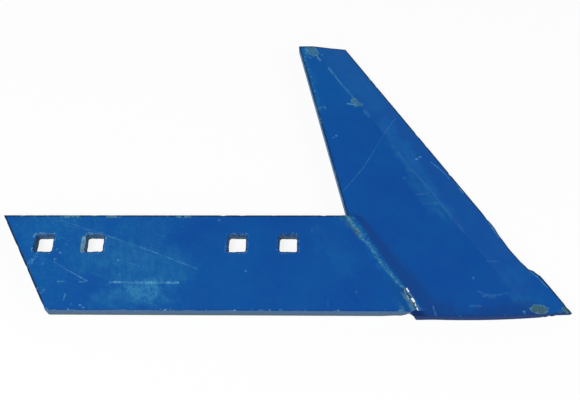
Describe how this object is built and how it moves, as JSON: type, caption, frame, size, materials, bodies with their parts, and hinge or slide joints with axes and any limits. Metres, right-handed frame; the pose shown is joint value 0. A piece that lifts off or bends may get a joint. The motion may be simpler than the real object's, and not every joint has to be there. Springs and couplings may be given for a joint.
{
  "type": "plough coulter",
  "caption": "Flat landside bar with square bolt holes and a welded-on upright knife blade that has one bevelled cutting edge.",
  "frame": {"origin": "on the flat back face, in the middle of the row of four square bolt holes", "axes": "+X along the bar towards the blade's point, +Y across the bar towards the blade's top, +Z out of the front face; the part lies on its back face"},
  "size_m": [0.4964, 0.2833, 0.0129],
  "materials": {
    "bar_paint": "worn gloss enamel",
    "blade_paint": "worn gloss enamel",
    "weld_paint": "worn gloss enamel over weld ripples"
  },
  "bodies": {
    "root": {"landside_bar": "bar_paint", "coulter_blade": "blade_paint", "front_weld_bead": "weld_paint", "back_weld_bead": "weld_paint"}
  },
  "joints": []
}
